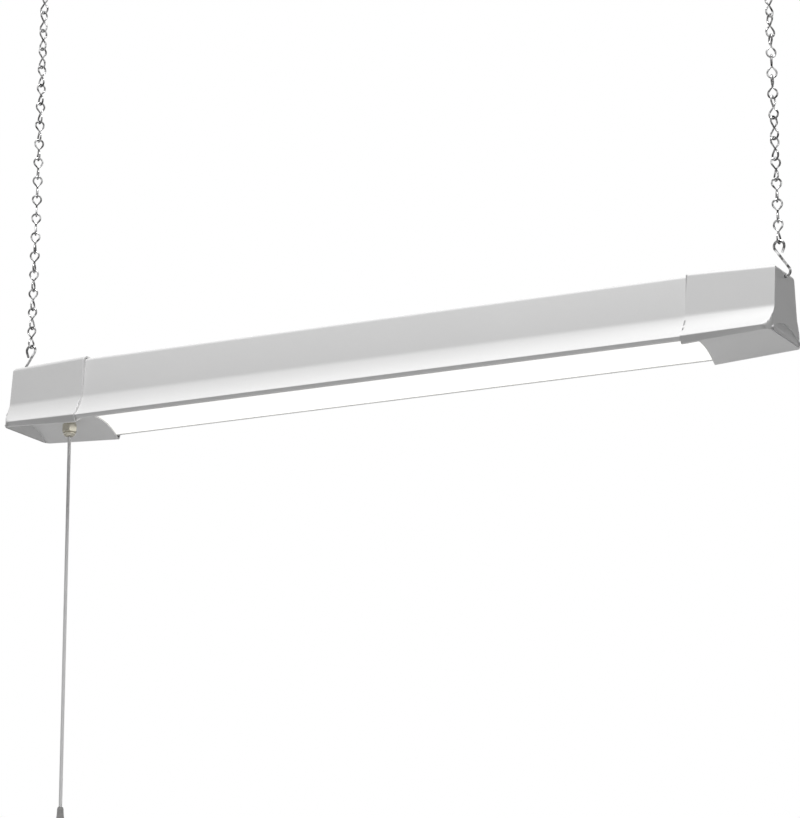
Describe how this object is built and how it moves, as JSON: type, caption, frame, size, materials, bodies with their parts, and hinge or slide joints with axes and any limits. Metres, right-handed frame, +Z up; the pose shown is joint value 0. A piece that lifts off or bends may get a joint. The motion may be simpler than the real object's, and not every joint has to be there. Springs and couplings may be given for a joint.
{
  "type": "hanging shop light",
  "caption": "Linear shop light with a bell-shaped sheet housing, tapered end caps and an opal lens, hung on jack chains, with a pull-cord switch under one end cap",
  "frame": {"origin": "on the ceiling plane, midway between the two ceiling hooks", "axes": "+X along the light, away from the pull switch; +Y to the light's far side; +Z up"},
  "size_m": [0.929, 0.101, 1.0801],
  "materials": {
    "housing_paint": "satin",
    "cap_plastic": "satin",
    "opal_lens": "satin",
    "board_mask": "satin",
    "led_phosphor": "gloss",
    "driver_steel": "satin",
    "post_aluminium": "satin",
    "screw_steel": "satin",
    "block_nylon": "satin",
    "clamp_brass": "satin",
    "lead_sheath": "gloss",
    "bushing_black": "satin",
    "switch_phenolic": "satin",
    "switch_nickel": "polished",
    "spring_steel": "satin",
    "cord_white": "matt",
    "bell_steel": "polished",
    "zinc_wire": "polished"
  },
  "bodies": {
    "ceiling": {"left_ceiling_hook": "zinc_wire", "right_ceiling_hook": "zinc_wire"},
    "hangers": {"left_upper_hook": "zinc_wire", "right_upper_hook": "zinc_wire"},
    "left_chain": {"left_chain": "zinc_wire"},
    "right_chain": {"right_chain": "zinc_wire"},
    "light": {"housing": "housing_paint", "left_end_cap": "cap_plastic", "right_end_cap": "cap_plastic", "cap_screws": "screw_steel", "lens": "opal_lens", "gear_tray": "housing_paint", "tray_posts": "post_aluminium", "tray_screws": "screw_steel", "left_led_board": "board_mask", "right_led_board": "board_mask", "led_chips": "led_phosphor", "driver_case": "driver_steel", "driver_cover": "driver_steel", "driver_screws": "screw_steel", "terminal_block": "block_nylon", "terminal_screws": "clamp_brass", "earth_screw": "clamp_brass", "switch_leads": "lead_sheath", "driver_leads": "lead_sheath", "board_lead": "lead_sheath", "supply_bushing": "bushing_black", "switch_case": "switch_phenolic", "switch_collar": "switch_nickel", "switch_nut": "switch_nickel", "switch_nozzle": "switch_nickel", "switch_spring": "spring_steel", "right_lower_hook": "zinc_wire", "left_lower_hook": "zinc_wire"},
    "pull": {"switch_plunger": "clamp_brass", "pull_cord": "cord_white", "pull_bell": "bell_steel", "cord_knot": "cord_white"}
  },
  "joints": [
    {"name": "side_sway", "type": "hinge", "parent": "ceiling", "child": "hangers", "pos_m": [0, 0, -0.0147], "axis": [1, 0, 0], "range_deg": [-20, 20]},
    {"name": "left_chain_swing", "type": "hinge", "parent": "hangers", "child": "left_chain", "pos_m": [-0.4458, 0, -0.05085], "axis": [0, 1, 0], "range_deg": [-15, 15]},
    {"name": "right_chain_swing", "type": "hinge", "parent": "hangers", "child": "right_chain", "pos_m": [0.4458, 0, -0.05085], "axis": [0, 1, 0], "range_deg": [-15, 15]},
    {"name": "light_level", "type": "hinge", "parent": "left_chain", "child": "light", "pos_m": [-0.4518, 0, -0.50125], "axis": [0, 1, 0], "range_deg": [-15, 15]},
    {"name": "pull_switch", "type": "slide", "parent": "light", "child": "pull", "axis": [0, 0, -1], "range_m": [0, 0.008], "stiffness_N_per_m": 600, "deforming": ["switch_spring"]}
  ],
  "couplings": [
    {"joint": "right_chain_swing", "follows": "left_chain_swing", "ratio": 1},
    {"joint": "light_level", "follows": "left_chain_swing", "ratio": -0.98672}
  ]
}
